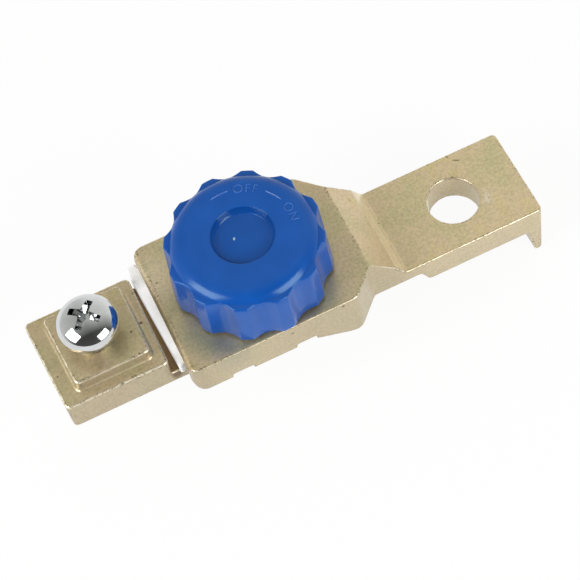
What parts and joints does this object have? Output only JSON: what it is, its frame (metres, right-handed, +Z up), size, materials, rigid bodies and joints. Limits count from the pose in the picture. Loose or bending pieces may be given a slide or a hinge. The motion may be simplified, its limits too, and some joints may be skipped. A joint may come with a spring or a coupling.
{
  "type": "battery terminal disconnect switch",
  "caption": "Cast battery lug joined to an insulated cable bar by a lobed blue screw knob that makes or breaks the circuit, with a cross-recess cable screw.",
  "frame": {"origin": "on the battery bolt hole's axis, in the plane of the seat under the lug", "axes": "+X along the part to the lug's outer end, +Z up along the bolt and knob axes"},
  "size_m": [0.1199, 0.0374, 0.0425],
  "materials": {
    "cast_metal": "cast alloy with a dull yellow plated skin, satin, slightly mottled",
    "white_nylon": "natural white moulded nylon",
    "zinc_steel": "zinc plated steel",
    "chrome_screw": "bright nickel or chrome plated steel",
    "turned_brass": "turned brass",
    "blue_plastic": "glossy moulded plastic"
  },
  "bodies": {
    "castings": {"lug_casting": "cast_metal", "cable_bar": "cast_metal", "insulator_channel": "white_nylon", "insulating_bush_left": "white_nylon", "insulating_bush_right": "white_nylon", "flat_washer_left": "zinc_steel", "flat_washer_right": "zinc_steel", "joining_screw_left": "zinc_steel", "joining_screw_right": "zinc_steel", "terminal_screw": "chrome_screw"},
    "lifting_washer": {"contact_washer": "turned_brass"},
    "knob": {"knob_body": "blue_plastic", "contact_stud": "turned_brass", "stud_retaining_ring": "zinc_steel"}
  },
  "joints": [
    {"name": "knob_lift", "type": "slide", "parent": "castings", "child": "lifting_washer", "axis": [0, 0, 1], "range_m": [0, 0.003]},
    {"name": "knob_turn", "type": "hinge", "parent": "lifting_washer", "child": "knob", "pos_m": [-0.0505, 0, 0.02], "axis": [0, 0, 1], "range_deg": [0, 720.01]}
  ],
  "couplings": [
    {"joint": "knob_turn", "follows": "knob_lift", "rad_per_m": 4188.8}
  ]
}
